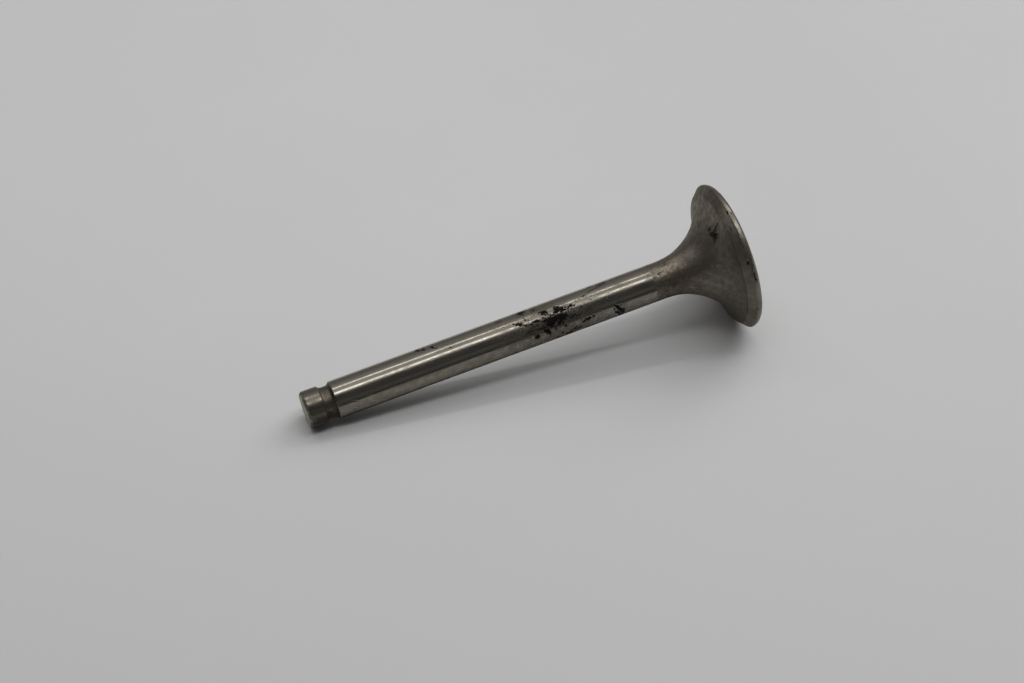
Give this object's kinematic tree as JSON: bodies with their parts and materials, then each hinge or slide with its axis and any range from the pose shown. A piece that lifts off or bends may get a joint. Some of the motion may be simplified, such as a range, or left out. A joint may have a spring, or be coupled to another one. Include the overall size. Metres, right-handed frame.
{
  "type": "engine valve",
  "caption": "Tulip-headed poppet valve for a piston engine: round head with a conical seat face, slim ground stem and a keeper groove below the tip.",
  "frame": {"origin": "centre of the head's flat face, which the valve stands on", "axes": "+Z along the stem from the head to the tip; the part is a body of revolution about Z"},
  "size_m": [0.0318, 0.0318, 0.0962],
  "materials": {
    "valve_steel": "ground and worn bare steel: polished stem, satin heat-tinted neck and head, light pitting"
  },
  "bodies": {
    "root": {"valve": "valve_steel"}
  },
  "joints": []
}
